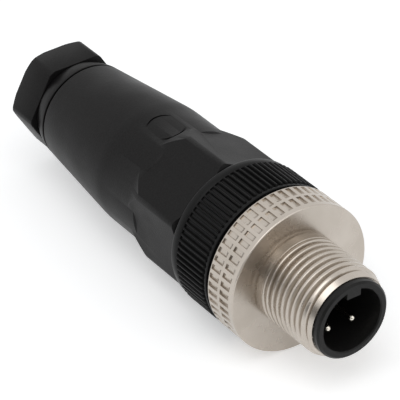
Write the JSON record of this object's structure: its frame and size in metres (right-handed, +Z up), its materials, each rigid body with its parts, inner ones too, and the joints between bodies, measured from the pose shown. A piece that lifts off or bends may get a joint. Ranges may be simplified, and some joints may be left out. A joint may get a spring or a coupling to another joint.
{
  "type": "m12 connector",
  "caption": "Straight field-wireable M12 plug with A-coded male contacts, knurled coupling screw, screw-on grip body and cable gland.",
  "frame": {"origin": "on the plug's axis, in the front face of the coupling ring, at the root of the M12 thread", "axes": "+X along the axis towards the mating end, +Z up through the coding key as the plug lies"},
  "size_m": [0.064, 0.02, 0.02],
  "materials": {
    "nickel_plated_brass": "satin nickel plate",
    "contact_metal": "bright plated",
    "screw_steel": "zinc plated",
    "insert_plastic": "semi-gloss moulded",
    "holder_plastic": "semi-gloss moulded",
    "body_plastic": "fine-grained moulded",
    "nut_plastic": "fine-grained moulded",
    "cage_plastic": "moulded",
    "seal_rubber": "moulded rubber"
  },
  "bodies": {
    "insert": {"insert_holder": "holder_plastic", "contact_carrier": "insert_plastic", "insert_o_ring": "seal_rubber", "contact_pin_1": "contact_metal", "contact_pin_2": "contact_metal", "contact_pin_3": "contact_metal", "contact_pin_4": "contact_metal", "terminal_screw_1": "screw_steel", "terminal_screw_2": "screw_steel", "terminal_screw_3": "screw_steel", "terminal_screw_4": "screw_steel"},
    "coupling": {"coupling_screw": "nickel_plated_brass"},
    "body_seal": {"body_o_ring": "seal_rubber"},
    "shell": {"grip_body": "body_plastic"},
    "clamp": {"clamp_cage": "cage_plastic", "cable_seal": "seal_rubber"},
    "gland": {"pressure_nut": "nut_plastic"}
  },
  "joints": [
    {"name": "coupling_spin", "type": "hinge", "parent": "insert", "child": "coupling", "pos_m": [0, 0, 0], "axis": [1, 0, 0], "continuous": true},
    {"name": "body_travel", "type": "slide", "parent": "insert", "child": "body_seal", "axis": [-1, 0, 0], "range_m": [0, 0.004]},
    {"name": "body_turn", "type": "hinge", "parent": "body_seal", "child": "shell", "pos_m": [-0.02, 0, 0], "axis": [-1, 0, 0], "range_deg": [0, 1440]},
    {"name": "gland_travel", "type": "slide", "parent": "shell", "child": "clamp", "axis": [-1, 0, 0], "range_m": [0, 0.004]},
    {"name": "gland_turn", "type": "hinge", "parent": "clamp", "child": "gland", "pos_m": [-0.05, 0, 0], "axis": [-1, 0, 0], "range_deg": [0, 1440]}
  ],
  "couplings": [
    {"joint": "body_turn", "follows": "body_travel", "rad_per_m": 6283.2},
    {"joint": "gland_turn", "follows": "gland_travel", "rad_per_m": 6283.2}
  ]
}
